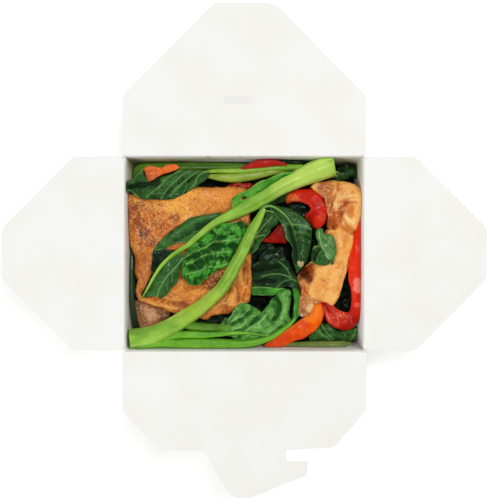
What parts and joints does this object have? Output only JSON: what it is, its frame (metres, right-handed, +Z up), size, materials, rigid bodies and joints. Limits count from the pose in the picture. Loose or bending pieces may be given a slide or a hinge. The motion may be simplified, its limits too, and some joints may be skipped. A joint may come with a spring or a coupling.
{
  "type": "takeaway food box",
  "caption": "Open folded paperboard food carton with hinged lid flaps, filled with leafy green stalks, fried tofu and sliced pepper.",
  "frame": {"origin": "middle of the carton's underside, on the surface it stands on", "axes": "+Z up, +Y towards the lid flap with the lock slot, +X to the right along the opening's long side"},
  "size_m": [0.347, 0.3539, 0.064],
  "materials": {
    "paperboard": "matte",
    "stalk": "satin",
    "leaf": "satin",
    "greens": "satin",
    "tofu": "satin",
    "red_pepper": "gloss",
    "orange_pepper": "gloss",
    "carrot": "satin",
    "garlic": "satin"
  },
  "bodies": {
    "box": {"carton_tray": "paperboard", "stalk_long": "stalk", "stalk_branched": "stalk", "stalk_back": "stalk", "stem_wall_back": "stalk", "stem_wall_left": "stalk", "stem_wall_front": "stalk", "stem_corner": "stalk", "leaf_small": "leaf", "leaf_middle": "leaf", "leaf_back": "leaf", "leaf_corner": "leaf", "leaf_dark": "leaf", "greens_heap": "greens", "tofu_left": "tofu", "tofu_right": "tofu", "tofu_corner": "tofu", "tofu_under": "tofu", "tofu_front": "tofu", "pepper_ring": "red_pepper", "pepper_side": "red_pepper", "pepper_back": "red_pepper", "pepper_middle": "red_pepper", "pepper_low": "red_pepper", "pepper_orange": "orange_pepper", "carrot_slice": "carrot", "garlic_bit": "garlic"},
    "lid_right": {"flap_right": "paperboard"},
    "lid_back": {"flap_back": "paperboard"},
    "lid_left": {"flap_left": "paperboard"},
    "lid_front": {"flap_front": "paperboard"}
  },
  "joints": [
    {"name": "fold_right", "type": "hinge", "parent": "box", "child": "lid_right", "pos_m": [0.08747, 0, 0.06237], "axis": [0, -1, 0], "range_deg": [-90, 180]},
    {"name": "fold_back", "type": "hinge", "parent": "box", "child": "lid_back", "pos_m": [0, 0.07057, 0.06308], "axis": [1, 0, 0], "range_deg": [-90, 180]},
    {"name": "fold_left", "type": "hinge", "parent": "box", "child": "lid_left", "pos_m": [-0.08747, 0, 0.06237], "axis": [0, 1, 0], "range_deg": [-90, 180]},
    {"name": "fold_front", "type": "hinge", "parent": "box", "child": "lid_front", "pos_m": [0, -0.07057, 0.06377], "axis": [-1, 0, 0], "range_deg": [-90, 180]}
  ]
}
